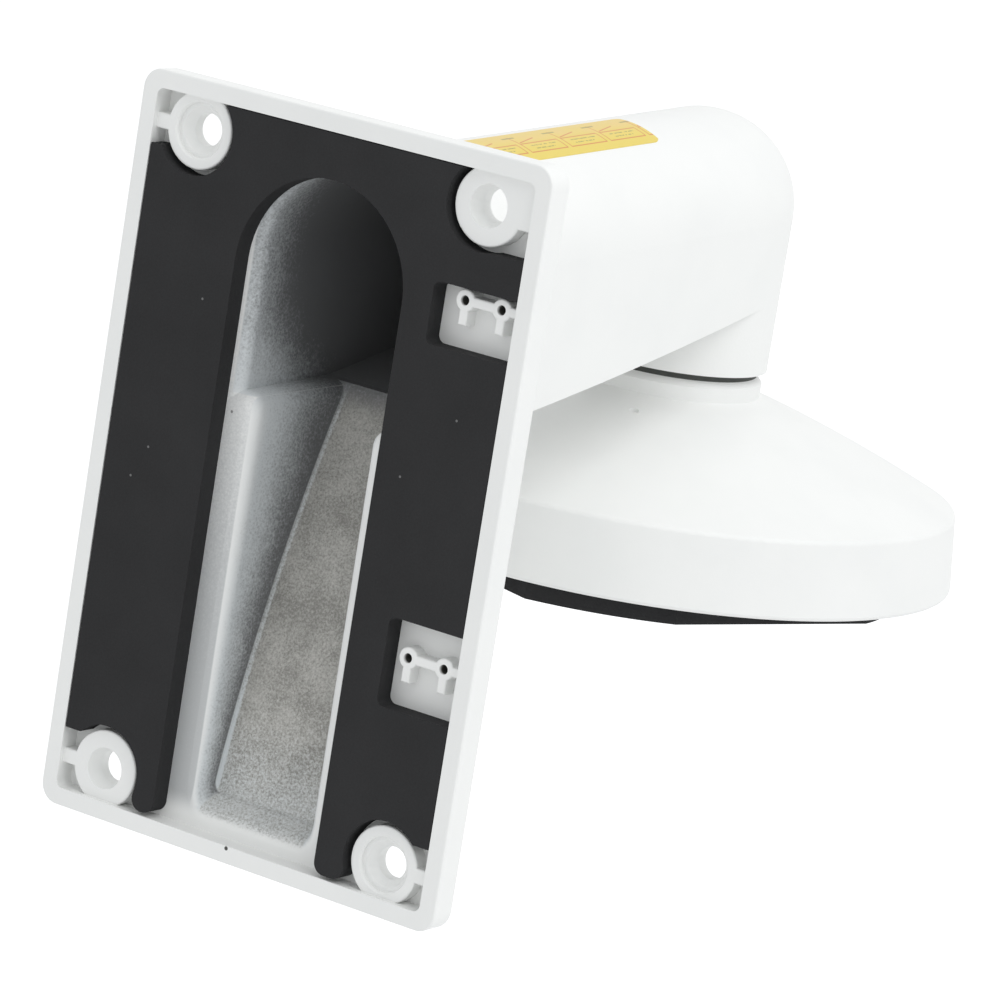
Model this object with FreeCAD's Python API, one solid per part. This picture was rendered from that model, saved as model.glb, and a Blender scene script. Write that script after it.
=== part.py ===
"""Wall bracket for a dome camera: a hollow cast arm with a wall plate, and a round cap under its neck.

Frame, in millimetres: X to the right as seen from the room, the wall is the plane Y = 0 and the
arm reaches out along -Y, Z is up. The origin is the centre of the four wall holes, on the wall.
"""
import FreeCAD, Part
import math
import os
from FreeCAD import Vector as V

# Wall plate: a cast frame with a shallow tray at the back
plate_width = 120.0
plate_height = 185.0
plate_thickness = 8.8
plate_corner_r = 5.0
plate_front_edge_r = 2.4
plate_back_edge_r = 0.5
rim_width = 4.5
tray_depth = 5.6
tray_corner_r = 2.0

# Wall screw holes, each in a round boss that stands up from the tray
hole_from_side = 17.4
hole_from_top = 12.5
hole_d = 8.0
boss_d = 19.2
boss_below_rim = 1.5
wide_mouth_d = 13.4
wide_mouth_depth = 1.4
wide_step_d = 11.6
hole_straight = 3.5
narrow_mouth_d = 9.8
hole_front_chamfer = 0.6
boss_rib_width = 3.8
standing_edge_r = 0.5

# Clip posts: two pairs of small posts with pilot holes beside the right-hand rim, seen from behind
clip_from_side = 20.0
clip_spacing = 10.4
clip_upper_from_top = 35.5
clip_lower_from_top = 122.1
clip_post_d = 5.4
clip_pilot_d = 2.4
clip_pilot_depth = 5.6
clip_below_rim = 1.8
clip_web_width = 2.4
clip_leg_length = 6.0

# Arm: round on top, flat at the sides, with a gently curved underside
wall_t = 3.2
arm_half_width = 25.4
arm_reach = 165.4
arm_axis_from_top = 36.5
arm_rise = 9.4
under_root_drop = 41.6
under_end_drop = 22.4
under_sag = 2.0
arm_root_fillet = 3.0

# Shelf inside the arm, beside the trough: nearly level from the wall to the top of the trough's floor
shelf_root_drop = 36.0
shelf_rise = 2.0
shelf_depth = 42.0
shelf_corner_r = 4.0

# Trough below the arm, open to the wall, with a sloping floor
trough_half_width = 17.0
trough_draft_deg = 4.6
trough_floor_top_y = 42.6
trough_floor_above_shelf = 10.0
trough_floor_foot_y = 12.4
trough_floor_sag = 3.5
trough_foot_from_edge = 13.5
trough_foot_slope = 5.0
trough_corner_r = 2.5
trough_outer_r = 4.0
mouth_round_r = 3.5

# Neck: a vertical tube that ends the arm, with four screw posts inside
neck_length = 41.0
neck_post_d = 9.0
neck_screw_pcd = 34.0
neck_post_height = 14.0
neck_pilot_depth = 11.0
screw_turn_deg = 45.0

# Rubber ring between the neck and the cap
ring_t = 1.8
ring_inset = 1.6

# Foam pad on the wall plate
foam_t = 5.5
foam_rim_gap = 0.3
foam_waist = 6.9                                         # least width of a leg, beside its boss
foam_slot_from_top = 15.7
foam_slot_shift_x = 0.9
foam_boss_gap = 1.4
foam_corner_inward = (5.5, 7.5, 10.5, 7.5)               # in the order of the boss centres
foam_foot_gap = 0.9
foam_foot_r = 3.0
window_upper_side = 5.4
window_upper_below = 12.0
window_upper_above = 3.1
window_lower_side = 3.0
window_lower_below = 12.8
window_lower_above = 9.0
window_corner_r = 2.0

# Cap: a thin round shell, a hub for the neck screws, ribs and posts for the camera
collar_r = 24.6
collar_chamfer = 1.6
collar_height = 5.3
cone_height = 22.3
cone_bulge = 1.0
rim_top_r = 80.8
rim_bottom_r = 82.9
rim_height = 20.2
rim_top_round = 1.4
rim_bottom_round = 1.0
cap_wall = 3.0
hub_t = 6.0
cable_hole_r = 11.0
rib_t = 2.6
rib_count = 8
ring_rib_r = 60.0
cap_turn_deg = -21.0
camera_pcd = 145.0
camera_post_d = 11.0
camera_pilot_d = 4.2
camera_pilot_depth = 14.0
dimple_r = 1.3
dimple_depth = 0.5
dimple_at_r = 33.9
dimple_turn_deg = 18.7

# Foam pad under the cap: round, with a flat beside each camera post, and set a little toward the wall
cap_foam_r = 75.0
cap_foam_shift_x = 3.5
cap_foam_shift_y = 5.0
cap_foam_flat = 66.8
cap_foam_hole_r = 52.0
cap_foam_t = 5.0

# Neck screws: pan heads below the hub, threads in the neck posts
screw_d = 4.0
screw_clear_d = 4.6
thread_gap = 0.1
screw_head_d = 8.2
screw_head_h = 3.0
screw_head_chamfer = 1.0
screw_length = 16.0
screw_recess_d = 4.0
screw_recess_depth = 1.8

# Label on top of the arm
label_t = 0.15
label_from_y = 34.0
label_length = 90.0
label_near_deg = 28.0
label_far_deg = 4.0
label_corner_r = 4.0

FACE = 0.02                                            # a cut runs this far past the face it opens
plate_top = plate_height / 2
hole_spacing_x = plate_width - 2 * hole_from_side
foam_slot_half_width = hole_spacing_x / 2 - boss_d / 2 - foam_boss_gap - foam_waist
hole_spacing_z = plate_height - 2 * hole_from_top
clip_x = clip_from_side - plate_width / 2
clip_upper_z = plate_top - clip_upper_from_top
clip_lower_z = plate_top - clip_lower_from_top
arm_axis_root_z = plate_top - arm_axis_from_top
arm_axis_end_z = arm_axis_root_z + arm_rise
under_root_z = arm_axis_root_z - under_root_drop
under_end_z = arm_axis_end_z - under_end_drop
shelf_root_z = arm_axis_root_z - shelf_root_drop
trough_floor_top_z = shelf_root_z + trough_floor_above_shelf
trough_foot_z = trough_foot_from_edge - plate_top
foam_slot_top_z = plate_top - foam_slot_from_top
foam_foot_z = rim_width + foam_foot_gap - plate_top
neck_face_z = arm_axis_end_z - neck_length
ring_r = collar_r - ring_inset
neck_pilot_d = screw_d + 2 * thread_gap
collar_top_z = neck_face_z - ring_t
cone_top_z = collar_top_z - collar_height
rim_top_z = cone_top_z - cone_height
rim_bottom_z = rim_top_z - rim_height
hub_under_z = collar_top_z - hub_t
inner_half_width = arm_half_width - wall_t
boss_centres = [(sx * hole_spacing_x / 2, sz * hole_spacing_z / 2) for sx in (1, -1) for sz in (1, -1)]
rim_inner_x = plate_width / 2 - rim_width
rim_inner_z = plate_height / 2 - rim_width


def extrude(edges, vector):
    """A solid from a closed run of edges, pushed along a vector."""
    return Part.Face(Part.Wire(edges)).extrude(vector)


def loop(points):
    """The edges of a closed polygon."""
    return [Part.makeLine(a, b) for a, b in zip(points, points[1:] + points[:1])]


def along_y(x0, x1, z0, z1, y0, y1):
    """A box given by its sides; y0 is the end nearer the wall and y1 the end in the room."""
    return Part.makeBox(x1 - x0, y1 - y0, z1 - z0, V(x0, -y1, z0))


def round_edges(shape, radius, chosen):
    """Fillet every edge that the chosen function accepts."""
    edges = [e for e in shape.Edges if chosen(e)]
    return shape.makeFillet(radius, edges) if edges else shape


def is_line(edge):
    return isinstance(edge.Curve, (Part.Line, Part.LineSegment))


def runs_along_y(edge):
    box = edge.BoundBox
    return is_line(edge) and box.XLength < 1e-6 and box.ZLength < 1e-6


def lies_at_y(edge, y):
    return abs(edge.BoundBox.YMin - y) < 1e-4 and abs(edge.BoundBox.YMax - y) < 1e-4


def cylinder_y(x, z, radius, y0, y1):
    """A cylinder along the wall's normal, from depth y0 to depth y1."""
    return Part.makeCylinder(radius, y1 - y0, V(x, -y0, z), V(0, -1, 0))


def cone_y(x, z, r0, r1, y0, y1):
    return Part.makeCone(r0, r1, y1 - y0, V(x, -y0, z), V(0, -1, 0))


def sagging_arc(start, end, sag, side):
    """An arc from start to end whose middle stands off the chord by sag, towards side."""
    middle = (start + end) * 0.5 + side * sag
    return Part.Arc(start, middle, end).toShape()


def arm_axis_z(depth):
    """Height of the arm's round top's axis at a distance from the wall."""
    return arm_axis_root_z + (arm_axis_end_z - arm_axis_root_z) * depth / arm_reach


def outer_underside(side, start):
    """The casting's lower line, a gentle arc from the plate to the neck."""
    root = V(side, -start, under_root_z)
    end = V(side, -arm_reach, under_end_z)
    return [sagging_arc(root, end, under_sag, V(0, 0, -1))], root, end


def inner_underside(side, start):
    """The hollow's lower line: the shelf beside the trough, then a straight rise to the neck."""
    root = V(side, -start, shelf_root_z)
    knee = V(side, -shelf_depth, shelf_root_z + shelf_rise)
    end = V(side, -arm_reach, under_end_z + wall_t)
    return [Part.makeLine(root, knee), Part.makeLine(knee, end)], root, end


def arm_form(inset, start, bottom_z, underside):
    """The arm's outer form, or its hollow when inset by the wall; start is its depth at the wall."""
    radius = arm_half_width - inset
    root = V(0, -start, arm_axis_z(start))
    end = V(0, -arm_reach, arm_axis_end_z)
    top = Part.makeCylinder(radius, (end - root).Length, root, end - root)
    nose = Part.makeSphere(radius, end)
    neck = Part.makeCylinder(radius, arm_axis_end_z - bottom_z, V(0, -arm_reach, bottom_z))
    under, under_a, under_b = underside(-radius, start)
    side_edges = under + [
        Part.makeLine(under_b, V(-radius, -arm_reach, end.z)),
        Part.makeLine(V(-radius, -arm_reach, end.z), V(-radius, -start, root.z)),
        Part.makeLine(V(-radius, -start, root.z), under_a),
    ]
    web = extrude(side_edges, V(2 * radius, 0, 0))
    return web.fuse([top, nose, neck]).removeSplitter()


def trough_form(grow, start):
    """The trough's space, or its casting's outer form when grown by the wall."""
    slope = math.tan(math.radians(trough_draft_deg))
    deep = trough_floor_top_y + 2 * wall_t
    top_z = trough_floor_top_z
    half_near = trough_half_width + grow - slope * (start - tray_depth)
    half_deep = trough_half_width + grow - slope * (deep - tray_depth)
    foot_rate = trough_foot_slope / (trough_floor_foot_y - tray_depth)
    foot_mouth = trough_foot_z - trough_foot_slope - grow
    foot_near = foot_mouth + foot_rate * (start - tray_depth)
    foot_deep = foot_mouth + foot_rate * (deep - tray_depth)
    near = [V(-half_near, -start, foot_near), V(half_near, -start, foot_near),
            V(half_near, -start, top_z), V(-half_near, -start, top_z)]
    far = [V(-half_deep, -deep, foot_deep), V(half_deep, -deep, foot_deep),
           V(half_deep, -deep, top_z), V(-half_deep, -deep, top_z)]
    wedge = Part.makeLoft([Part.Wire(loop(near)), Part.Wire(loop(far))], True, True)
    side = -plate_width / 2
    floor_top = V(side, -(trough_floor_top_y + grow), top_z)
    foot_depth = trough_floor_foot_y + grow
    floor_foot = V(side, -foot_depth, foot_mouth + foot_rate * (foot_depth - tray_depth))
    below = V(side, floor_foot.y, foot_near - 1)
    profile = [
        sagging_arc(floor_top, floor_foot, trough_floor_sag, V(0, 1, 0)),
        Part.makeLine(floor_foot, below),
        Part.makeLine(below, V(side, 1 - start, below.z)),
        Part.makeLine(V(side, 1 - start, below.z), V(side, 1 - start, top_z)),
        Part.makeLine(V(side, 1 - start, top_z), floor_top),
    ]
    form = wedge.common(extrude(profile, V(plate_width, 0, 0)))
    form = round_edges(form, trough_corner_r + grow, lambda e: is_foot_corner(e, floor_foot.z))
    return form


def is_foot_corner(edge, foot_z):
    """The two slanting corners at the trough's foot."""
    box = edge.BoundBox
    return box.ZMax < foot_z + 0.01 and box.YLength > 1 and box.XLength < 3


def wall_plate():
    """The plate's outer block, with rounded corners and edges."""
    half_x = plate_width / 2
    half_z = plate_height / 2
    block = along_y(-half_x, half_x, -half_z, half_z, 0, plate_thickness)
    block = round_edges(block, plate_corner_r, runs_along_y)
    block = round_edges(block, plate_front_edge_r, lambda e: lies_at_y(e, -plate_thickness))
    return round_edges(block, plate_back_edge_r, lambda e: lies_at_y(e, 0))


def tray_space():
    """What the tray removes: a shallow pocket that leaves the bosses, ribs and clip posts standing."""
    pocket = along_y(-rim_inner_x, rim_inner_x, -rim_inner_z, rim_inner_z, -1, tray_depth)
    pocket = round_edges(pocket, tray_corner_r, runs_along_y)
    standing = [boss(x, z) for x, z in boss_centres]
    standing += [clip_posts(z) for z in (clip_upper_z, clip_lower_z)]
    return pocket.cut(standing)


def boss(x, z):
    """A round boss with the rib that joins it to the rim; the boss above the clips fills its corner."""
    near = tray_depth + 1
    out_x = math.copysign(plate_width / 2, x)
    out_z = math.copysign(plate_height / 2, z)
    if x < 0 and z > 0:
        rib = along_y(out_x, x, z - boss_rib_width, out_z, boss_below_rim, near)
    else:
        low = z - boss_rib_width / 2
        rib = along_y(min(x, out_x), max(x, out_x), low, low + boss_rib_width, boss_below_rim, near)
    form = cylinder_y(x, z, boss_d / 2, boss_below_rim, near).fuse(rib).removeSplitter()
    return round_edges(form, standing_edge_r, lambda e: lies_at_y(e, -boss_below_rim))


def clip_posts(z):
    """Two posts, the web that joins them to the rim, and a short leg below each post."""
    near = tray_depth + 1
    half_web = clip_web_width / 2
    form = along_y(-plate_width / 2, clip_x, z - half_web, z + half_web, clip_below_rim, near)
    for x in (clip_x, clip_x - clip_spacing):
        post = cylinder_y(x, z, clip_post_d / 2, clip_below_rim, near)
        leg = along_y(x - half_web, x + half_web, z - clip_leg_length, z, clip_below_rim, near)
        form = form.fuse([post, leg])
    form = form.removeSplitter()
    return round_edges(form, standing_edge_r, lambda e: lies_at_y(e, -clip_below_rim))


def wall_holes():
    """The four screw holes; two of them open wide at the back, on one diagonal."""
    cuts = []
    face = boss_below_rim
    for x, z in boss_centres:
        cuts.append(cylinder_y(x, z, hole_d / 2, -1, plate_thickness + 1))
        chamfer = hole_front_chamfer
        front = plate_thickness
        cuts.append(cone_y(x, z, hole_d / 2, hole_d / 2 + chamfer + FACE, front - chamfer, front + FACE))
        if x * z > 0:
            mouth = wide_mouth_d / 2
            cuts.append(cone_y(x, z, mouth + standing_edge_r, mouth, face - FACE, face + standing_edge_r))
            cuts.append(cylinder_y(x, z, mouth, -1, face + wide_mouth_depth))
            step = face + wide_mouth_depth - FACE
            cuts.append(cone_y(x, z, wide_step_d / 2, hole_d / 2, step, front - hole_straight))
        else:
            mouth = narrow_mouth_d / 2
            cuts.append(cone_y(x, z, mouth + 0.3, hole_d / 2, face - FACE, front - hole_straight))
    for z in (clip_upper_z, clip_lower_z):
        for x in (clip_x, clip_x - clip_spacing):
            start = clip_below_rim - 1
            cuts.append(cylinder_y(x, z, clip_pilot_d / 2, start, clip_below_rim + clip_pilot_depth))
    return cuts


def screw_places():
    """The four neck screws' places round the neck's axis."""
    places = []
    for i in range(4):
        a = math.radians(screw_turn_deg + 90 * i)
        r = neck_screw_pcd / 2
        places.append((r * math.cos(a), -arm_reach + r * math.sin(a)))
    return places


def arm_body():
    """The casting: plate, arm, trough, neck and everything that stands inside them."""
    outer_arm = arm_form(0, plate_thickness - 3, neck_face_z, outer_underside)
    outer_trough = trough_form(wall_t, plate_thickness - 3)
    outer_trough = round_edges(outer_trough, trough_outer_r, is_trough_front_edge)
    body = wall_plate().fuse([outer_arm, outer_trough]).removeSplitter()
    body = round_edges(body, arm_root_fillet, is_arm_root_edge)
    hollow = arm_form(wall_t, -1, neck_face_z - 1, inner_underside)
    hollow = hollow.fuse(trough_form(0, -1)).removeSplitter()
    hollow = round_edges(hollow, shelf_corner_r, is_shelf_edge)
    body = body.cut(hollow).cut(tray_space())
    body = round_edges(body, mouth_round_r, is_mouth_edge)
    body = body.fuse(neck_posts()).removeSplitter()
    pilots = [
        Part.makeCylinder(neck_pilot_d / 2, neck_pilot_depth + 1, V(x, y, neck_face_z - 1))
        for x, y in screw_places()
    ]
    return body.cut(wall_holes() + pilots)


def neck_posts():
    """Four screw posts that stand in the neck, each joined to its wall by a web of the post's width."""
    reach = arm_half_width - wall_t / 2
    posts = []
    for i, (x, y) in enumerate(screw_places()):
        half = neck_post_d / 2
        web = Part.makeBox(reach - neck_screw_pcd / 2, neck_post_d, neck_post_height, V(0, -half, 0))
        web.rotate(V(0, 0, 0), V(0, 0, 1), screw_turn_deg + 90 * i)
        web.translate(V(x, y, neck_face_z))
        post = Part.makeCylinder(half, neck_post_height, V(x, y, neck_face_z))
        posts.append(post.fuse(web))
    inside = Part.makeCylinder(reach, neck_post_height, V(0, -arm_reach, neck_face_z))
    return [post.common(inside) for post in posts]


def is_arm_root_edge(edge):
    """The edges where the arm and the trough's casting stand on the plate's front face."""
    box = edge.BoundBox
    inside = max(abs(box.XMin), abs(box.XMax)) < arm_half_width + 0.1 and box.ZMin > trough_foot_z - 12
    return lies_at_y(edge, -plate_thickness) and inside


def is_shelf_edge(edge):
    """The two corners where the trough's sides meet the arm's hollow."""
    box = edge.BoundBox
    beside = trough_half_width - 2 < abs(box.Center.x) < trough_half_width + 0.4
    return beside and box.YLength > 20 and box.ZMin > under_root_z and box.ZMax < trough_floor_top_z


def is_mouth_edge(edge):
    """The edge round the hollow's opening in the tray."""
    box = edge.BoundBox
    inside = max(abs(box.XMin), abs(box.XMax)) < inner_half_width + 0.1 and box.ZMin > trough_foot_z - 6
    return lies_at_y(edge, -tray_depth) and inside


def is_trough_front_edge(edge):
    """The edges round the front of the trough's casting: its two long sides and its foot."""
    box = edge.BoundBox
    front = -(trough_floor_foot_y + wall_t)
    return box.YMax < front + 0.2 and box.ZMin < trough_floor_top_z - 1


def wall_gasket():
    """The foam pad in the tray, cut round the bosses and the clip posts, with a long open slot."""
    back = tray_depth - foam_t
    half_x = rim_inner_x - foam_rim_gap
    top_z = rim_inner_z - foam_rim_gap
    pad = along_y(-half_x, half_x, foam_foot_z, top_z, back, tray_depth)
    pad = round_edges(pad, tray_corner_r, runs_along_y)
    cut_r = boss_d / 2 + foam_boss_gap
    cuts = []
    for (x, z), inward in zip(boss_centres, foam_corner_inward):
        cuts.append(cylinder_y(x, z, cut_r, -1, tray_depth + 1))
        far_x = math.copysign(plate_width, x)
        edge_z = z - math.copysign(inward, z)
        far_z = math.copysign(plate_height, z)
        cuts.append(along_y(min(x, far_x), max(x, far_x), min(edge_z, far_z), max(edge_z, far_z), -1, 9))
    arch_z = foam_slot_top_z - foam_slot_half_width
    cx = foam_slot_shift_x
    cuts.append(cylinder_y(cx, arch_z, foam_slot_half_width, -1, 9))
    cuts.append(along_y(cx - foam_slot_half_width, cx + foam_slot_half_width, -plate_height, arch_z, -1, 9))
    cuts.append(clip_window(clip_upper_z, window_upper_side, window_upper_below, window_upper_above))
    cuts.append(clip_window(clip_lower_z, window_lower_side, window_lower_below, window_lower_above))
    pad = pad.cut(cuts)
    return round_edges(pad, foam_foot_r, lambda e: runs_along_y(e) and e.BoundBox.ZMin < foam_foot_z + 0.5)


def clip_window(z, beside, below, above):
    """The notch in the foam round one pair of clip posts, open to the pad's side."""
    edge_x = clip_x + clip_post_d / 2 + beside
    window = along_y(-plate_width, edge_x, z - below, z + above, -1, 9)
    return round_edges(window, window_corner_r, runs_along_y)


def neck_gasket():
    """A flat rubber ring, set in from the neck's edge, with a hole for each screw."""
    base = V(0, -arm_reach, collar_top_z)
    ring = Part.makeCylinder(ring_r, ring_t, base).cut(Part.makeCylinder(cable_hole_r, ring_t, base))
    holes = [Part.makeCylinder(screw_clear_d / 2, ring_t, V(x, y, collar_top_z)) for x, y in screw_places()]
    return ring.cut(holes)


def cap_outline(inset):
    """The cap's outer line from its collar to its rim, as edges in the plane of radius and height."""
    drop = inset
    a = V(collar_r - inset, 0, cone_top_z - drop)
    b = V(rim_top_r - inset, 0, rim_top_z - drop)
    normal = V(-(b.z - a.z), 0, b.x - a.x).normalize()
    cone = sagging_arc(a, b, cone_bulge, normal)
    c = V(rim_bottom_r - inset, 0, rim_bottom_z - (0 if inset == 0 else 1))
    return a, b, c, cone


def turned(edges):
    """A solid turned about the neck's axis from a profile of radius and height."""
    solid = Part.Face(Part.Wire(edges)).revolve(V(0, 0, 0), V(0, 0, 1), 360)
    solid.translate(V(0, -arm_reach, 0))
    return solid


def cap_shell():
    """The cap's thin shell with its collar and hub, turned as one profile."""
    a, b, c, cone = cap_outline(0)
    top = collar_top_z
    low = V(0, 0, rim_bottom_z)
    collar_in = V(collar_r - collar_chamfer, 0, top)
    collar_out = V(collar_r, 0, top - collar_chamfer)
    outer = turned([
        Part.makeLine(V(0, 0, top), collar_in),
        Part.makeLine(collar_in, collar_out),
        Part.makeLine(collar_out, a),
        cone,
        Part.makeLine(b, c),
        Part.makeLine(c, low),
        Part.makeLine(low, V(0, 0, top)),
    ])
    outer = round_edges(outer, rim_top_round, lambda e: is_ring(e, rim_top_r, rim_top_z))
    outer = round_edges(outer, rim_bottom_round, lambda e: is_ring(e, rim_bottom_r, rim_bottom_z))
    ia, ib, ic, inner_cone = cap_outline(cap_wall)
    axis_low = V(0, 0, ic.z)
    inner = turned([
        Part.makeLine(V(0, 0, hub_under_z), V(ia.x, 0, hub_under_z)),
        Part.makeLine(V(ia.x, 0, hub_under_z), ia),
        inner_cone,
        Part.makeLine(ib, ic),
        Part.makeLine(ic, axis_low),
        Part.makeLine(axis_low, V(0, 0, hub_under_z)),
    ])
    return outer.cut(inner)


def cap_core():
    """The space that the cap's ribs and posts fill: it ends inside the shell's wall."""
    a, b, c, cone = cap_outline(cap_wall / 2)
    top = hub_under_z + hub_t / 2
    return turned([
        Part.makeLine(V(0, 0, top), V(a.x, 0, top)),
        Part.makeLine(V(a.x, 0, top), a),
        cone,
        Part.makeLine(b, V(c.x, 0, rim_bottom_z)),
        Part.makeLine(V(c.x, 0, rim_bottom_z), V(0, 0, rim_bottom_z)),
        Part.makeLine(V(0, 0, rim_bottom_z), V(0, 0, top)),
    ])


def is_ring(edge, radius, z):
    """A full circle of this radius about the neck's axis, at this height."""
    box = edge.BoundBox
    return abs(box.ZMin - z) < 1e-3 and abs(box.ZMax - z) < 1e-3 and abs(box.XLength - 2 * radius) < 1e-2


def round_cap_place(radius, turn_deg, z):
    a = math.radians(turn_deg)
    return V(radius * math.sin(a), -arm_reach + radius * math.cos(a), z)


def camera_cap():
    """The cap casting: shell, ribs, the ring that carries the foam, and the camera posts."""
    shell = cap_shell()
    core = cap_core()
    height = hub_under_z - rim_bottom_z
    base = V(0, -arm_reach, rim_bottom_z)
    ring = Part.makeCylinder(ring_rib_r + rib_t / 2, height + 4, base)
    ring = ring.cut(Part.makeCylinder(ring_rib_r - rib_t / 2, height + 4, base))
    pieces = [ring]
    for i in range(rib_count):
        rib = Part.makeBox(rim_top_r - ring_rib_r + 2, rib_t, height + 4, V(ring_rib_r - 1, -rib_t / 2, 0))
        rib.rotate(V(0, 0, 0), V(0, 0, 1), cap_turn_deg + 22.5 + 360 / rib_count * i)
        rib.translate(base)
        pieces.append(rib)
    posts = []
    for i in range(4):
        place = round_cap_place(camera_pcd / 2, -cap_turn_deg + 90 * i, rim_bottom_z)
        posts.append(place)
        pieces.append(Part.makeCylinder(camera_post_d / 2, height + 4, place))
    inside = [piece.common(core) for piece in pieces]
    cap = shell.fuse(inside).removeSplitter()
    cuts = [Part.makeCylinder(cable_hole_r, 60, V(0, -arm_reach, hub_under_z - 1))]
    for x, y in screw_places():
        cuts.append(Part.makeCylinder(screw_clear_d / 2, 60, V(x, y, hub_under_z - 1)))
    for place in posts:
        start = place - V(0, 0, 1)
        cuts.append(Part.makeCylinder(camera_pilot_d / 2, camera_pilot_depth + 1, start))
    cuts.append(dimple())
    return cap.cut(cuts)


def dimple():
    """A small shallow mark in the cone's upper side, left by the mould."""
    share = (dimple_at_r - collar_r) / (rim_top_r - collar_r)
    chord_z = cone_top_z + (rim_top_z - cone_top_z) * share
    stand = 4 * cone_bulge * share * (1 - share)
    a = math.radians(dimple_turn_deg)
    x = -dimple_at_r * math.sin(a)
    y = dimple_at_r * math.cos(a) - arm_reach
    return Part.makeCylinder(dimple_r, 4, V(x, y, chord_z + stand - dimple_depth))


def cap_gasket():
    """A foam ring with four flats, stuck to the ribs below the cap."""
    base = V(0, -arm_reach, rim_bottom_z - cap_foam_t)
    disc = Part.makeCylinder(cap_foam_r, cap_foam_t, base + V(cap_foam_shift_x, cap_foam_shift_y, 0))
    side = 2 * cap_foam_flat
    square = Part.makeBox(side, side, cap_foam_t, V(-side / 2, -side / 2, 0))
    square.rotate(V(0, 0, 0), V(0, 0, 1), cap_turn_deg)
    square.translate(base)
    hole = Part.makeCylinder(cap_foam_hole_r, cap_foam_t, base)
    return disc.common(square).cut(hole)


def neck_screws():
    """Four pan-head screws that hold the cap to the neck, as one group."""
    screws = []
    for x, y in screw_places():
        seat = V(x, y, hub_under_z)
        head = Part.makeCylinder(screw_head_d / 2, screw_head_h, seat - V(0, 0, screw_head_h))
        low_ring = [e for e in head.Edges if is_low_ring(e, seat.z - screw_head_h)]
        head = head.makeChamfer(screw_head_chamfer, low_ring)
        shank = Part.makeCylinder(screw_d / 2, screw_length, seat)
        recess_z = hub_under_z - screw_head_h
        arm = screw_recess_d
        slot = Part.makeBox(arm, 1.0, screw_recess_depth, V(x - arm / 2, y - 0.5, recess_z))
        cross = Part.makeBox(1.0, arm, screw_recess_depth, V(x - 0.5, y - arm / 2, recess_z))
        screws.append(head.fuse(shank).removeSplitter().cut([slot, cross]))
    return Part.makeCompound(screws)


def is_low_ring(edge, z):
    return abs(edge.BoundBox.ZMin - z) < 1e-4 and abs(edge.BoundBox.ZMax - z) < 1e-4


def top_label():
    """A thin label on the arm's rounded top, from just past its crest down one side."""
    start = label_from_y
    root = V(0, -start, arm_axis_z(start))
    end = V(0, -arm_reach, arm_axis_end_z)
    axis = (end - root).normalize()
    outside = Part.makeCylinder(arm_half_width + label_t, label_length, root, axis)
    inside = Part.makeCylinder(arm_half_width, label_length, root, axis)
    near_x = -(arm_half_width + label_t) * math.sin(math.radians(label_near_deg))
    far_x = (arm_half_width + label_t) * math.sin(math.radians(label_far_deg))
    low_z = root.z + 2
    stamp = Part.makeBox(far_x - near_x, label_length, 60, V(near_x, -start - label_length, low_z))
    stamp = round_edges(stamp, label_corner_r, runs_along_z)
    return outside.cut(inside).common(stamp)


def runs_along_z(edge):
    box = edge.BoundBox
    return is_line(edge) and box.XLength < 1e-6 and box.YLength < 1e-6


nodes = {
    "arm_body": arm_body,
    "wall_gasket": wall_gasket,
    "neck_gasket": neck_gasket,
    "camera_cap": camera_cap,
    "cap_gasket": cap_gasket,
    "neck_screws": neck_screws,
    "top_label": top_label,
}

os.makedirs("parts", exist_ok=True)
for name, make in nodes.items():
    shape = make()
    shape.exportStep("parts/" + name + ".step")
    print(name, shape.isValid(), len(shape.Solids), round(shape.Volume / 1000, 2), "cm3")
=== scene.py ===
"""Looks of a wall bracket for a dome camera.

The bracket is a white powder-coated casting whose hollow was left thinly sprayed and partly bare, with
black foam pads, a rubber ring and a yellow label. Sizes below are millimetres in the bracket's own
frame unless a name says otherwise; Blender's own lengths are metres.
"""
import math
import bpy
from mathutils import Matrix, Vector

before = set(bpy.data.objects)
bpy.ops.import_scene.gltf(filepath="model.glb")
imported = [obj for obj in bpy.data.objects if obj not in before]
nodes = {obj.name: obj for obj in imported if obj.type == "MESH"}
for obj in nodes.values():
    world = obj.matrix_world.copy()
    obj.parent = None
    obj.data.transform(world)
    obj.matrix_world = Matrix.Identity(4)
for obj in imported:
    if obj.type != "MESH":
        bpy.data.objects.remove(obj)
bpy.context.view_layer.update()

MM = 0.001

# Photograph's viewpoint, in metres, and its lens on a 36 mm sensor
camera_place = Vector((-0.7050, 1.0166, 0.2634))
camera_target = Vector((-0.0436, -0.0250, 0.0079))
camera_roll_deg = -9.23
camera_lens = 190.9

# Hollow of the casting
tray_depth = 5.6
arm_reach = 165.4
arm_axis_root_z = 56.0
arm_axis_end_z = 65.4
bore_radius = 22.2
shelf_root_z = 20.0
shelf_rise = 2.0
shelf_depth = 42.0
underside_end_z = 46.2
trough_half_width = 17.0
trough_draft = math.tan(math.radians(4.6))
floor_top_z = 30.0
floor_foot_z = -79.0
floor_top_depth = 42.6
floor_foot_depth = 12.4
floor_sag = 3.5
foot_mouth_z = -84.0
foot_rate = 0.63

# The thin spray, partly real and partly painted shade that darkens the hollow deeper in: how deep it
# reaches into the trough, and how much deeper into the arm
spray_and_shade_reach = 18.3
spray_and_shade_spread = 21.0

# Heights between which the look of the hollow changes
arm_spray_z = (44.0, 18.0)
# Above these heights the arm's hollow is painted darker: thinner spray, and painted shade
arm_darker_z = (16.0, 40.0)
# Heights over which the painted highlight on the trough's mouth edge fades out
trough_highlight_z = (22.0, 14.0)
bare_floor_z = (22.6, 14.0)
foot_spray_z = (-40.0, -84.0)
foot_coat_z = (-79.0, -88.0)
strip_grey_z = (60.0, -65.0)

# Holes of the clip posts, two pairs one above the other
clip_middle_x = -45.2
clip_spacing = 10.4
clip_middle_z = 13.7
clip_rise = 86.6
clip_hole_r = 1.2

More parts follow.
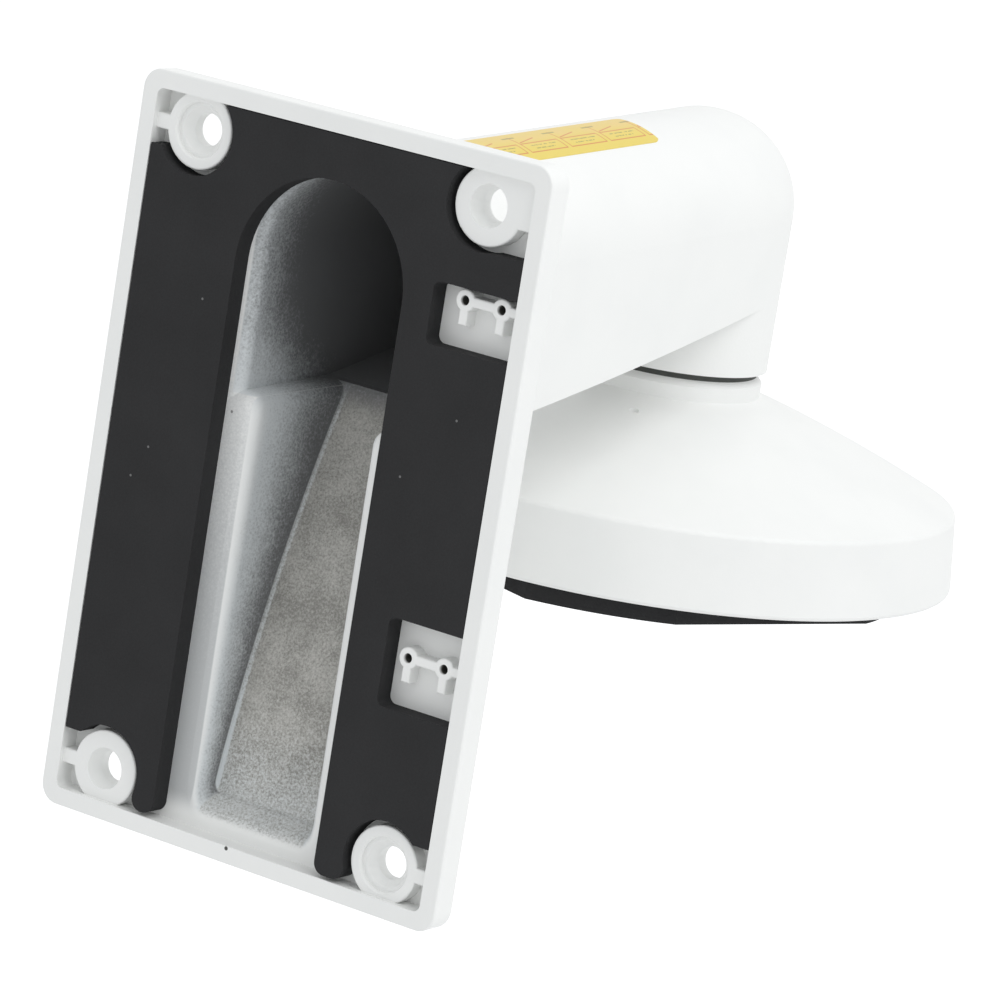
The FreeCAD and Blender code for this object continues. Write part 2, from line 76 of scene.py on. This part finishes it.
# Label on top of the arm: its end nearer the wall, its side towards -X and the length of a printed panel
label_near = 34.0
label_near_x = -12.0
label_panel = 17.6

# Colours, linear
coat_white = (0.86, 0.865, 0.85)
coat_shade = (0.80, 0.81, 0.80)
spray_white = (0.66, 0.69, 0.70)
bare_metal = (0.16, 0.162, 0.165)
bare_floor = (0.54, 0.53, 0.497)
floor_stain = (0.24, 0.235, 0.215)
# Bare drilled metal, darkened further as painted shade of deep holes
drilled_metal_and_shade = (0.10, 0.10, 0.09)
dirt_grey = (0.05, 0.05, 0.045)
foam_black = (0.030, 0.030, 0.031)
foam_dust = (0.16, 0.16, 0.16)
rubber_black = (0.050, 0.054, 0.048)
zinc = (0.62, 0.62, 0.60)
label_yellow = (0.76, 0.60, 0.11)
label_light = (0.78, 0.55, 0.20)
label_red = (0.60, 0.12, 0.05)
label_dark = (0.14, 0.15, 0.05)

# Specks on the wall pad, where dust has stuck to it
foam_specks = (
    (33.3, -0.1, 40.7), (-30.9, -0.1, 12.5), (-44.1, -0.1, 29.2), (42.8, -0.1, 1.7), (46.8, -0.1, -6.4),
)
dust_r = 0.3

# Dirt on the casting: a speck on the rim and a fainter one beside the trough
rim_speck = (2.0, 0.0, -88.6)
rim_speck_r = 0.5
tray_speck = (23.7, -5.6, 14.7)
tray_speck_r = 0.35

# Light: even from all round, with two large soft lamps
sky_colour = (0.97, 0.985, 1.0, 1.0)
sky_strength = 0.81
lamp_size = 1.4
lamp_aim = (0.0, -0.1, 0.0)
lamp_above_place = (-0.95, 0.1, 1.4)
lamp_above_power = 10.5
lamp_side_place = (-1.6, -0.5, 0.5)
lamp_side_power = 0.6
floor_half = 20.0
floor_height = -0.36


class Value:
    """A socket of a material; arithmetic on it adds the Math nodes that it stands for."""

    def __init__(self, shade, socket):
        self.shade = shade
        self.socket = socket

    def math(self, operation, *others):
        inputs = {i: v for i, v in enumerate((self,) + others)}
        return self.shade.node("ShaderNodeMath", inputs, {"operation": operation})

    def __add__(self, other):
        return self.math("ADD", other)

    def __radd__(self, other):
        return self.math("ADD", other)

    def __mul__(self, other):
        return self.math("MULTIPLY", other)

    def __sub__(self, other):
        return self.math("SUBTRACT", other)

    def __rsub__(self, other):
        return (self * -1) + other

    def __truediv__(self, other):
        return self.math("DIVIDE", other)

    def __neg__(self):
        return self * -1

    def __abs__(self):
        return self.math("ABSOLUTE")

    def root(self):
        return self.math("SQRT")

    def most(self, other):
        return self.math("MAXIMUM", other)

    def least(self, other):
        return self.math("MINIMUM", other)

    def wrap(self, length):
        """The remainder after whole lengths, from 0 to length."""
        return self.math("WRAP", length, 0.0)

    def rises(self, low, high):
        """0 below low and 1 above high, with a smooth step between; low above high turns it round."""
        inputs = {"Value": self, "From Min": low, "From Max": high}
        return self.shade.node("ShaderNodeMapRange", inputs, {"interpolation_type": "SMOOTHSTEP"})


class Shade:
    """A material being built round one Principled shader."""

    def __init__(self, name, **constants):
        self.material = bpy.data.materials.new(name)
        self.material.use_nodes = True
        self.tree = self.material.node_tree
        self.surface = self.tree.nodes["Principled BSDF"]
        for socket, value in constants.items():
            self.surface.inputs[socket.replace("_", " ")].default_value = value

    def fill(self, socket, value):
        if isinstance(value, Value):
            self.tree.links.new(value.socket, socket)
        elif isinstance(value, tuple) and len(value) == 3 and socket.type == "RGBA":
            socket.default_value = value + (1.0,)
        else:
            socket.default_value = value

    def node(self, kind, inputs=(), settings=(), output=0):
        """A node of any kind: its settings first, then the values or links of its sockets."""
        made = self.tree.nodes.new(kind)
        for name, value in dict(settings).items():
            setattr(made, name, value)
        for name, value in dict(inputs).items():
            self.fill(made.inputs[name], value)
        return Value(self, made.outputs[output])

    def place(self):
        return self.node("ShaderNodeTexCoord", output="Object")

    def axes(self):
        """X, Y and Z of the point, in millimetres."""
        split = self.node("ShaderNodeSeparateXYZ", {0: self.place()})
        outputs = split.socket.node.outputs
        return [Value(self, outputs[i]) * (1.0 / MM) for i in range(3)]

    def noise(self, grain, detail=2.0, roughness=0.5):
        """Noise whose bumps are about one grain across, in millimetres."""
        inputs = {
            "Vector": self.place(),
            "Scale": 1.0 / (grain * MM),
            "Detail": detail,
            "Roughness": roughness,
        }
        return self.node("ShaderNodeTexNoise", inputs, output="Fac")

    def cells(self, grain):
        """Distance from the nearest of many scattered points, about one grain apart."""
        inputs = {"Vector": self.place(), "Scale": 1.0 / (grain * MM)}
        return self.node("ShaderNodeTexVoronoi", inputs, output="Distance")

    def mix(self, factor, low, high):
        """A colour between low and high."""
        inputs = {"Factor": factor, 6: low, 7: high}
        return self.node("ShaderNodeMix", inputs, {"data_type": "RGBA"}, output=2)

    def tint(self, colour, strength):
        """A colour made lighter or darker by a value."""
        grey = self.node("ShaderNodeCombineColor", {0: strength, 1: strength, 2: strength})
        inputs = {"Factor": 1.0, 6: colour, 7: grey}
        return self.node("ShaderNodeMix", inputs, {"data_type": "RGBA", "blend_type": "MULTIPLY"}, output=2)

    def bump(self, height, distance, strength=1.0):
        """Bump from a height of 0 to 1, where distance is its real depth in millimetres."""
        inputs = {"Height": height, "Distance": distance * MM, "Strength": strength}
        self.set("Normal", self.node("ShaderNodeBump", inputs))

    def set(self, socket, value):
        self.fill(self.surface.inputs[socket], value)


def paint(node_name, shade):
    """Gives a CAD node its material."""
    piece = nodes[node_name]
    piece.data.materials.clear()
    piece.data.materials.append(shade.material)
    for face in piece.data.polygons:
        face.material_index = 0


def coat(shade):
    """Powder coat on the outside: white, with a very fine orange peel and faint clouding."""
    cloud = shade.noise(26.0, 3.0)
    peel = shade.noise(0.9, 2.0)
    colour = shade.mix(cloud.rises(0.35, 0.75) * 0.35, coat_white, coat_shade)
    return colour, peel


def inner_bore(x, depth, z):
    """1 on the walls of the arm's hollow and the neck, 0 outside."""
    axis_z = depth * ((arm_axis_end_z - arm_axis_root_z) / arm_reach) + arm_axis_root_z
    above = (z - axis_z).most(0.0)
    beyond = (depth - arm_reach).most(0.0)
    from_axis = (x * x + above * above + beyond * beyond).root()
    shelf = depth * (shelf_rise / shelf_depth) + shelf_root_z
    rise = (underside_end_z - shelf_root_z - shelf_rise) / (arm_reach - shelf_depth)
    underside = (depth - shelf_depth) * rise + (shelf_root_z + shelf_rise)
    lowest = shelf.most(underside) - 0.9
    bore = from_axis.rises(bore_radius + 2.6, bore_radius + 2.0) * (z - lowest).rises(-0.1, 0.1)
    neck_run = depth - arm_reach
    neck = (x * x + neck_run * neck_run).root().rises(bore_radius + 1.8, bore_radius + 1.4)
    return bore.most(neck * z.rises(62.0, 60.0)) * depth.rises(tray_depth - 0.5, tray_depth - 0.2)


def trough_floor_depth(z):
    """Depth of the trough's sloping floor at a height."""
    share = (z - floor_foot_z) / (floor_top_z - floor_foot_z)
    straight = share * (floor_top_depth - floor_foot_depth) + floor_foot_depth
    return straight - share * (1.0 - share) * (4.0 * floor_sag)


def inner_trough(x, depth, z):
    """1 on the walls and floor of the trough, and how far a point is from its floor and its side."""
    half = (trough_half_width + trough_draft * tray_depth) - depth * trough_draft
    off_floor = trough_floor_depth(z) - depth
    off_side = half - abs(x)
    side = off_side.rises(-1.7, -1.3)
    front = off_floor.rises(-1.7, -1.3)
    foot = z - (depth - tray_depth) * foot_rate - foot_mouth_z
    within = side * front * foot.rises(-1.7, -1.3) * z.rises(25.0, 24.0)
    return within * depth.rises(tray_depth - 0.2, tray_depth + 0.6), off_floor.least(foot), off_side


def spray_and_painted_light(shade, depth, z, speck):
    """Spray over bare metal: most of it at the mouth, none of it deep inside.

    Its fall towards the trough's floor and inside the arm is partly real spray and partly painted shade;
    the coat on the trough's edge is a painted highlight, and the little extra on the shelf is painted
    light.
    """
    reach = (trough_floor_depth(z) - tray_depth).least(z.rises(*arm_spray_z) * spray_and_shade_spread + spray_and_shade_reach)
    share = (depth - tray_depth) / reach
    # A little lighter on the upward-facing shelf: painted light
    shelf = z.rises(16.0, 20.0) * z.rises(27.0, 22.0) * 0.08
    # Coverage falls with depth: partly real spray, partly painted shade towards the floor and in the arch
    spray_and_shade = share.rises(1.38, -0.1) * (1.0 - z.rises(*arm_darker_z) * 0.3) + shelf
    drift = shade.noise(9.0, 3.0) * 0.3 - 0.15
    spray = (speck + spray_and_shade * 0.95 + drift).rises(0.67, 1.5)
    spray_and_light = shade.mix(spray, bare_metal, spray_white)
    # Coat white on the trough's rounded mouth edge: a painted highlight
    edge_highlight = share.rises(0.22, 0.0) * z.rises(*trough_highlight_z) * 0.9
    return shade.mix(edge_highlight, spray_and_light, coat_white)


def trough_floor(shade, z, off_side, fine):
    """Bare metal stained by the mould, with spray settled towards the foot.

    The lighter stripe along its corners with the walls is a painted highlight of a small fillet.
    """
    blotch = shade.noise(14.0, 4.0, 0.6)
    stained = shade.mix((blotch * 0.45 + fine * 0.75).rises(0.42, 0.78), floor_stain, bare_floor)
    # A lighter stripe along the corner with the wall: painted highlight of a small fillet
    corner_highlight = off_side.rises(1.2, 0.5) * 0.42
    settled = (fine + z.rises(*foot_spray_z) * 0.38 + corner_highlight).rises(0.62, 1.15)
    return shade.mix(settled, stained, spray_white)


def greyer_tray_strip(x, depth, z, speck):
    """How grey the strip of the tray is on one side of the trough: speckled, and greyer towards the bottom.
    """
    on_tray = depth.rises(tray_depth - 0.5, tray_depth - 0.1)
    on_tray = on_tray * depth.rises(tray_depth + 1.6, tray_depth + 1.2)
    strip = on_tray * x.rises(14.0, 17.0) * x.rises(27.0, 26.0) * z.rises(-86.0, -80.0)
    return strip * (speck * 0.9 + z.rises(*strip_grey_z)).rises(0.3, 1.5) * 0.75


def casting():
    """The arm's casting: coated outside, thinly sprayed in the hollow, bare on the trough's floor.

    The hollow's colour also holds painted shade and painted highlights.
    """
    shade = Shade("coated_casting", IOR=1.45)
    x, y, z = shade.axes()
    depth = -y
    coated, peel = coat(shade)
    trough, off_floor, off_side = inner_trough(x, depth, z)
    inside = inner_bore(x, depth, z).most(trough)
    on_floor = trough * off_floor.rises(1.0, 0.5) * z.rises(*bare_floor_z)
    grain = shade.noise(0.5, 3.0, 0.75)
    fine = shade.noise(0.6, 3.0, 0.8)
    speck = grain * 0.8 + shade.cells(0.8) * 0.25
    spray_and_light = spray_and_painted_light(shade, depth, z, speck)
    hollow = shade.mix(on_floor, spray_and_light, trough_floor(shade, z, off_side, fine))
    # The spray thickens into the coat at the trough's foot
    thick = (fine * 0.6 + z.rises(*foot_coat_z)).rises(0.5, 1.3)
    hollow = shade.mix(thick, hollow, coat_white)
    # Grey, speckled strip beside the trough, greyer towards the bottom
    strip_grey = shade.mix(0.45, bare_metal, spray_white)
    outside = shade.mix(greyer_tray_strip(x, depth, z, speck), coated, strip_grey)
    # Very dark in the clip posts' holes: bare drilled metal and painted shade of their depth
    outside = shade.mix(clip_holes(x, depth, z), outside, drilled_metal_and_shade)
    faint = speck_at(x, y, z, tray_speck, tray_speck_r) * 0.7
    dirt = speck_at(x, y, z, rim_speck, rim_speck_r).most(faint)
    shade.set("Base Color", shade.mix(dirt, shade.mix(inside, outside, hollow), dirt_grey))
    shade.set("Roughness", 0.46 + inside * 0.18)
    height = peel * (1.0 - inside) * 0.25 + inside * (grain * 0.6 + fine * 0.4)
    shade.bump(height, 0.12, 0.6)
    return shade


def clip_holes(x, depth, z):
    """1 inside the drilled holes of the clip posts: bare metal, painted darker as the holes' shade."""
    near = abs(x - clip_middle_x) - clip_spacing / 2
    up = abs(z - clip_middle_z) - clip_rise / 2
    from_axis = (near * near + up * up).root()
    drilled = depth.rises(2.0, 3.0) * depth.rises(7.9, 7.6)
    return from_axis.rises(clip_hole_r + 0.12, clip_hole_r + 0.02) * drilled


def speck_at(x, y, z, centre, radius):
    """1 on a small speck, 0 around it."""
    run, back, rise = x - centre[0], y - centre[1], z - centre[2]
    return (run * run + back * back * 0.5 + rise * rise).root().rises(radius * 1.25, radius * 0.8)


def cap_coat():
    """The cap's coat, the same powder as on the arm."""
    shade = Shade("coated_cap", Roughness=0.46, IOR=1.45)
    colour, peel = coat(shade)
    shade.set("Base Color", colour)
    shade.bump(peel * 0.25, 0.12, 0.6)
    return shade


def foam(name, dust_spots=()):
    """Closed-cell foam: matte black with fine pores, faint pressed patches and a few specks of dust."""
    shade = Shade(name, Roughness=0.92, IOR=1.4)
    shade.surface.inputs["Specular IOR Level"].default_value = 0.25
    pressed = shade.noise(20.0, 3.0)
    pores = shade.noise(0.5, 2.0, 0.7)
    colour = shade.tint(foam_black, pressed * 0.35 + pores * 0.3 + 0.68)
    if dust_spots:
        x, y, z = shade.axes()
        dust = speck_at(x, y, z, dust_spots[0], dust_r)
        for spot in dust_spots[1:]:
            dust = dust.most(speck_at(x, y, z, spot, dust_r))
        colour = shade.mix(dust, colour, foam_dust)
    shade.set("Base Color", colour)
    shade.bump(pores, 0.08, 0.7)
    return shade


def rubber():
    shade = Shade("black_rubber", Roughness=0.7, IOR=1.5)
    soft = shade.noise(3.0, 2.0)
    shade.set("Base Color", shade.tint(rubber_black, soft * 0.5 + 0.75))
    shade.bump(shade.noise(0.6), 0.03, 0.5)
    return shade


def zinc_plate():
    """Bright zinc on the screws, a little dulled in patches."""
    shade = Shade("zinc_plate", Metallic=1.0)
    dull = shade.noise(1.6, 3.0)
    shade.set("Base Color", shade.tint(zinc, dull * 0.3 + 0.8))
    shade.set("Roughness", dull * 0.2 + 0.26)
    shade.bump(shade.noise(0.3), 0.01, 0.5)
    return shade


def band(value, centre, half):
    """1 within half of the centre, with a thin soft edge."""
    return abs(value - centre).rises(half + 0.12, half - 0.12)


def label_print():
    """A plain yellow label with a row of panels, drawn in thin red lines and dark dashes."""
    shade = Shade("yellow_label", Roughness=0.38, IOR=1.5)
    x, y, z = shade.axes()
    along = -y - label_near
    across = x - label_near_x
    in_panel = (along + 1.5).wrap(label_panel)
    # Each panel has a framed box with two rows of dashes, a rule on its left and a dark bar at its head
    box_low, box_high, box_start, box_end = 2.6, 6.5, 0.4, 16.1
    rule_end = 11.0
    line = 0.17
    within_run = in_panel.rises(box_start - line, box_start) * in_panel.rises(box_end + line, box_end)
    rails = band(across, box_low, line).most(band(across, box_high, line)) * within_run
    rise = across.rises(box_low - line, box_low)
    right = band(in_panel, box_end, line) * rise * across.rises(box_high + line, box_high)
    left = band(in_panel, box_start, line) * rise * across.rises(rule_end, rule_end - 0.1)
    head = across - box_high - in_panel * 0.22
    slant = band(head, 0.4, line) * in_panel.rises(1.0, 1.2) * in_panel.rises(9.2, 9.0)
    dashes = band(across, 3.9, 0.16) * band(in_panel, 8.0, 4.2)
    dashes = dashes.most(band(across, 5.2, 0.16) * band(in_panel, 8.6, 5.4))
    dashes = dashes * shade.noise(0.8, 1.0).rises(0.42, 0.5) * 0.7
    bar = band(across, 10.4, 0.35) * band((along + 4.6).wrap(label_panel), 3.4, 2.6) * 0.6
    ink = rails.most(right).most(left).most(slant)
    fibre = shade.noise(6.0, 3.0)
    ground = shade.mix(fibre * across.rises(3.0, 10.0), label_yellow, label_light)
    ruled = shade.mix(ink * 0.8, ground, label_red)
    shade.set("Base Color", shade.mix(dashes.most(bar), ruled, label_dark))
    shade.bump(fibre, 0.01, 0.4)
    return shade


def dress():
    """Every CAD node with its material."""
    paint("arm_body", casting())
    paint("camera_cap", cap_coat())
    paint("wall_gasket", foam("wall_foam", foam_specks))
    paint("cap_gasket", foam("cap_foam"))
    paint("neck_gasket", rubber())
    paint("neck_screws", zinc_plate())
    paint("top_label", label_print())


def place_camera():
    data = bpy.data.cameras.new("photograph_view")
    data.lens = camera_lens
    data.sensor_width = 36.0
    data.clip_start = 0.05
    data.clip_end = 60.0
    camera = bpy.data.objects.new("photograph_view", data)
    bpy.context.scene.collection.objects.link(camera)
    look = (camera_target - camera_place).to_track_quat("-Z", "Y").to_matrix().to_4x4()
    roll = Matrix.Rotation(math.radians(-camera_roll_deg), 4, "Z")
    camera.matrix_world = Matrix.Translation(camera_place) @ look @ roll
    bpy.context.scene.camera = camera


def soft_lamp(name, place, power):
    data = bpy.data.lights.new(name, "AREA")
    data.shape = "SQUARE"
    data.size = lamp_size
    data.energy = power
    lamp = bpy.data.objects.new(name, data)
    lamp.location = place
    lamp.rotation_euler = (Vector(lamp_aim) - Vector(place)).to_track_quat("-Z", "Y").to_euler()
    bpy.context.scene.collection.objects.link(lamp)


def light_studio():
    """A white room: even light from all round, with large soft lamps above and at the room's side."""
    world = bpy.data.worlds.new("studio")
    world.use_nodes = True
    tree = world.node_tree
    tree.nodes.clear()
    rays = tree.nodes.new("ShaderNodeLightPath")
    seen = tree.nodes.new("ShaderNodeBackground")
    seen.inputs["Color"].default_value = (1.0, 1.0, 1.0, 1.0)
    seen.inputs["Strength"].default_value = 1.0
    cast = tree.nodes.new("ShaderNodeBackground")
    cast.inputs["Color"].default_value = sky_colour
    cast.inputs["Strength"].default_value = sky_strength
    choose = tree.nodes.new("ShaderNodeMixShader")
    out = tree.nodes.new("ShaderNodeOutputWorld")
    direct = tree.nodes.new("ShaderNodeMath")
    direct.operation = "MAXIMUM"
    through = tree.nodes.new("ShaderNodeMath")
    through.operation = "MAXIMUM"
    tree.links.new(rays.outputs["Is Camera Ray"], direct.inputs[0])
    tree.links.new(rays.outputs["Is Glossy Ray"], direct.inputs[1])
    tree.links.new(direct.outputs[0], through.inputs[0])
    tree.links.new(rays.outputs["Is Transmission Ray"], through.inputs[1])
    tree.links.new(through.outputs[0], choose.inputs[0])
    tree.links.new(cast.outputs[0], choose.inputs[1])
    tree.links.new(seen.outputs[0], choose.inputs[2])
    tree.links.new(choose.outputs[0], out.inputs["Surface"])
    bpy.context.scene.world = world
    soft_lamp("lamp_above", lamp_above_place, lamp_above_power)
    soft_lamp("lamp_side", lamp_side_place, lamp_side_power)


def lay_floor():
    """A plain white floor, well below a bracket that hangs on a wall."""
    mesh = bpy.data.meshes.new("floor")
    turns = ((-1, -1), (1, -1), (1, 1), (-1, 1))
    corners = [(sx * floor_half, sy * floor_half, floor_height) for sx, sy in turns]
    mesh.from_pydata(corners, [], [(0, 1, 2, 3)])
    floor = bpy.data.objects.new("floor", mesh)
    bpy.context.scene.collection.objects.link(floor)
    shade = Shade("floor_white", Roughness=0.9)
    shade.set("Base Color", (0.93, 0.93, 0.93))
    rays = shade.node("ShaderNodeLightPath").socket.node.outputs
    seen = Value(shade, rays["Is Camera Ray"]).most(Value(shade, rays["Is Glossy Ray"]))
    seen = seen.most(Value(shade, rays["Is Transmission Ray"]))
    shade.surface.inputs["Emission Strength"].default_value = 1.0
    shade.set("Emission Color", shade.mix(seen, (0.0, 0.0, 0.0), (0.35, 0.35, 0.35)))
    mesh.materials.append(shade.material)


place_camera()
light_studio()
lay_floor()
dress()
bpy.context.scene.view_settings.view_transform = "Standard"
